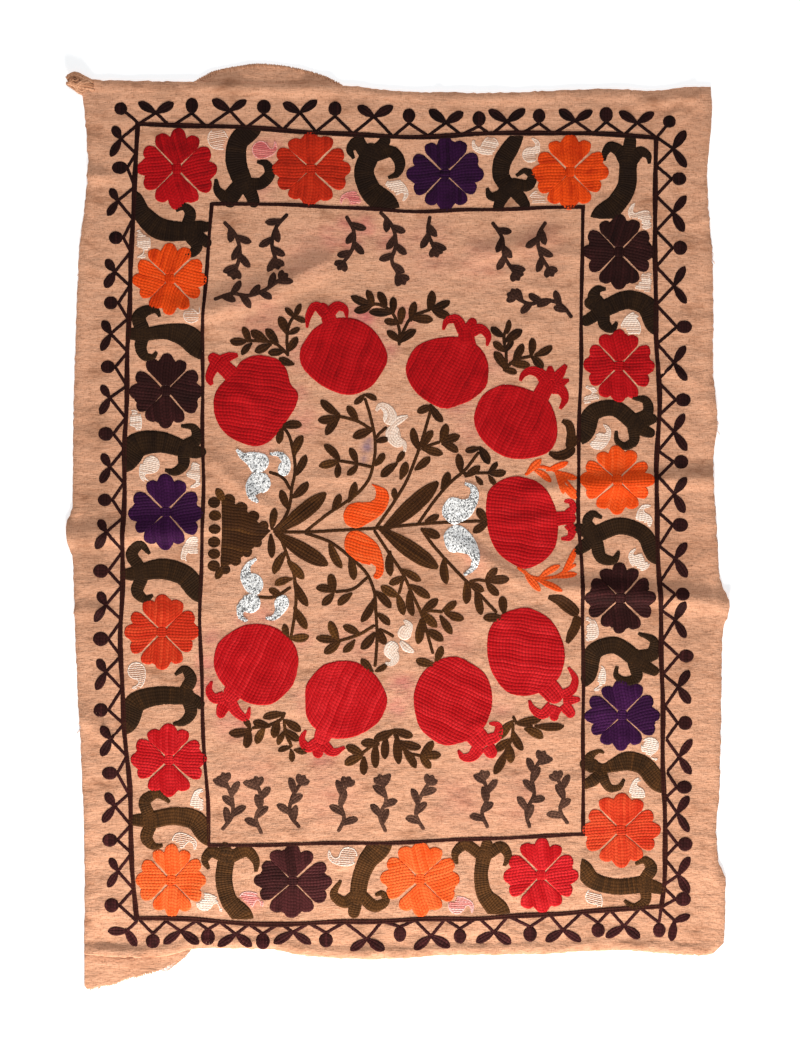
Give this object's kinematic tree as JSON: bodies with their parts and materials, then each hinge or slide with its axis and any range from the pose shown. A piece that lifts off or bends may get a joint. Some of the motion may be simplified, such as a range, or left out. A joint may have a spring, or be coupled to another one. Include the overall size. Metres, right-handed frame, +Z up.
{
  "type": "suzani embroidered textile",
  "caption": "Flat-lying hand-embroidered cotton wall cloth with soft fold ridges, a hemmed uneven outline, one twisted corner and one torn corner.",
  "frame": {"origin": "on the surface that the cloth lies on, under the middle of its outline", "axes": "+Z up out of the embroidered face, +Y towards the cloth's top edge, +X to the right seen from above"},
  "size_m": [0.6628, 0.9249, 0.0081],
  "materials": {
    "tan_cotton": "hand-woven slubby cotton, matte",
    "red_thread": "couched silk thread, soft sheen",
    "orange_thread": "couched silk thread, soft sheen",
    "rust_thread": "couched silk thread, soft sheen",
    "plum_thread": "couched silk thread, soft sheen",
    "violet_thread": "couched silk thread, soft sheen",
    "olive_thread": "couched silk thread, soft sheen",
    "cream_thread": "loose open filling stitches, matte",
    "silver_thread": "metallised thread, glittering"
  },
  "bodies": {
    "root": {"ground_cloth": "tan_cotton"}
  },
  "joints": []
}
